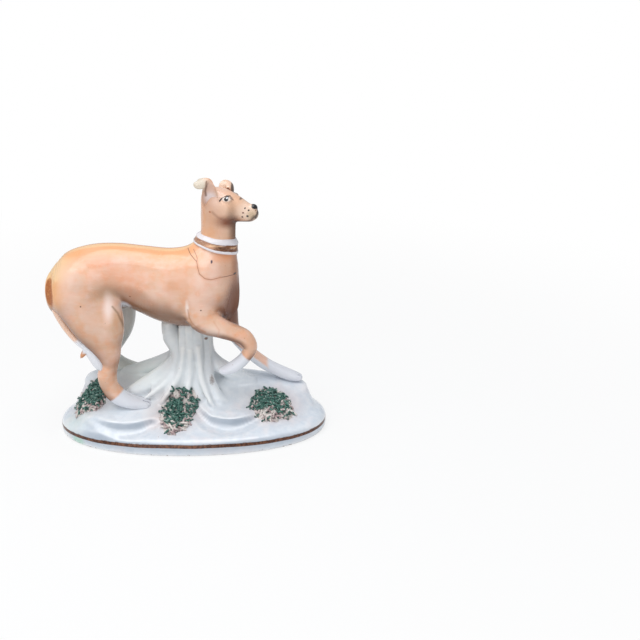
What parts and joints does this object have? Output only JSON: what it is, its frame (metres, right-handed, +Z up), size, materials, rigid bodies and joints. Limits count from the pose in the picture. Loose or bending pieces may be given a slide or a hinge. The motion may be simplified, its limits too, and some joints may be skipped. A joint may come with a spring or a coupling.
{
  "type": "staffordshire dog figure",
  "caption": "Press-moulded earthenware greyhound with a raised forepaw, on an oval rock mound with a fluted stump and tufts of clay strands.",
  "frame": {"origin": "middle of the flat underside that the figure rests on", "axes": "+X the way the dog faces and along the base, -Y its near side, +Z up"},
  "size_m": [0.2132, 0.11, 0.2044],
  "materials": {
    "base_glaze": "clear glossy lead glaze over bluish white earthenware, with a worn brown-gilt line above the rim",
    "bisque": "unglazed, matt, ground flat",
    "stump_glaze": "clear glossy glaze, grey in the flutes",
    "fawn_glaze": "fawn and orange enamel brushed thin over the glaze, glossy",
    "ear_glaze": "pale fawn enamel, glossy",
    "collar_gilt": "white glaze with a worn gilt band",
    "paw_glaze": "fawn enamel fading to white glaze at the paws, glossy",
    "tail_glaze": "pale fawn enamel, white at the plume, glossy",
    "green_strands": "dark green enamel over rough clay strands, glossy"
  },
  "bodies": {
    "root": {"base_mound": "base_glaze", "base_underside": "bisque", "tree_stump": "stump_glaze", "body_near_half": "fawn_glaze", "body_far_half": "fawn_glaze", "head": "fawn_glaze", "near_ear": "ear_glaze", "far_ear": "ear_glaze", "collar": "collar_gilt", "near_foreleg": "paw_glaze", "far_foreleg": "paw_glaze", "near_hind_leg": "paw_glaze", "far_hind_leg": "paw_glaze", "tail": "tail_glaze", "leaf_clump_left": "green_strands", "leaf_clump_middle": "green_strands", "leaf_clump_right": "green_strands"}
  },
  "joints": []
}
